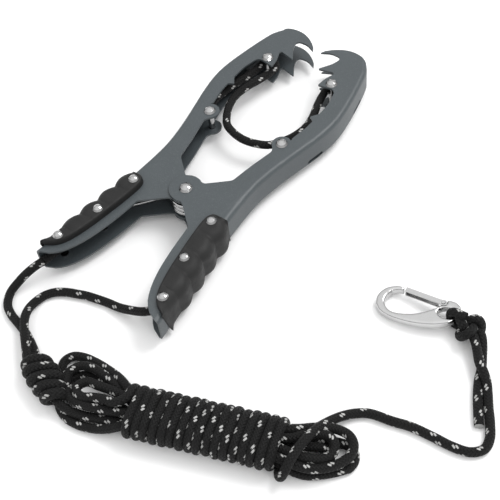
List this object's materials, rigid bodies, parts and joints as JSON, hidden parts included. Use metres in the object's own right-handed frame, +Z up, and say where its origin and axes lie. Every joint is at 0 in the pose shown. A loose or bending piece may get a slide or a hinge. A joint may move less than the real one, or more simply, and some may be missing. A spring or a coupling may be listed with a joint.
{
  "type": "brush gripper clamp anchor",
  "caption": "Spring clamp with toothed steel jaws and rubber grips that holds a small boat to brush, with a rope laced through its jaws, a hank of rope and a snap hook.",
  "frame": {"origin": "centre of the clamp's footprint on the floor, its ropes and hook left out", "axes": "+Y from the handles to the jaws, +X across to the right arm, +Z up along the pivot rivet"},
  "size_m": [0.3451, 0.3731, 0.0354],
  "materials": {
    "powder_coated_steel": "satin",
    "grip_rubber": "matt",
    "plated_steel": "bright",
    "spring_steel": "bright",
    "stainless": "polished",
    "rope": "braided"
  },
  "bodies": {
    "left_arm_and_rope": {"gate_pin": "stainless", "hook_body": "stainless", "hook_knot": "rope", "join_knot": "rope", "left_arm": "powder_coated_steel", "left_grip": "grip_rubber", "left_grip_rivet_lower_1": "plated_steel", "left_grip_rivet_lower_2": "plated_steel", "left_grip_rivet_lower_3": "plated_steel", "left_grip_rivet_upper_1": "plated_steel", "left_grip_rivet_upper_2": "plated_steel", "left_grip_rivet_upper_3": "plated_steel", "left_jaw_post_lower": "plated_steel", "left_jaw_post_upper": "plated_steel", "pivot_rivet": "plated_steel", "pivot_sleeve": "plated_steel", "rope_eye_loop": "rope", "rope_hank": "rope", "rope_lead": "rope", "rope_left_channel": "rope", "rope_left_leg": "rope", "rope_mouth_arc": "rope", "rope_right_leg": "rope", "rope_tail": "rope", "torsion_spring": "spring_steel"},
    "right_arm": {"right_arm": "powder_coated_steel", "right_grip": "grip_rubber", "right_grip_rivet_lower_1": "plated_steel", "right_grip_rivet_lower_2": "plated_steel", "right_grip_rivet_lower_3": "plated_steel", "right_grip_rivet_upper_1": "plated_steel", "right_grip_rivet_upper_2": "plated_steel", "right_grip_rivet_upper_3": "plated_steel", "right_jaw_post_lower": "plated_steel", "right_jaw_post_upper": "plated_steel", "rope_right_channel": "rope"},
    "gate": {"hook_gate": "stainless", "gate_spring": "stainless"}
  },
  "joints": [
    {"name": "jaw_hinge", "type": "hinge", "parent": "left_arm_and_rope", "child": "right_arm", "pos_m": [0, -0.0425, 0.0177], "axis": [0, 0, -1], "range_deg": [-2.5, 35], "stiffness_Nm_per_rad": 4, "springref_deg": -40.11, "deforming": ["torsion_spring", "rope_mouth_arc", "rope_right_leg"]},
    {"name": "gate_hinge", "type": "hinge", "parent": "left_arm_and_rope", "child": "gate", "pos_m": [0.20345, -0.01648, 0.00859], "axis": [-0.1041, -0.0287, 0.9942], "range_deg": [0, 20], "stiffness_Nm_per_rad": 0.01, "springref_deg": -22.92}
  ]
}
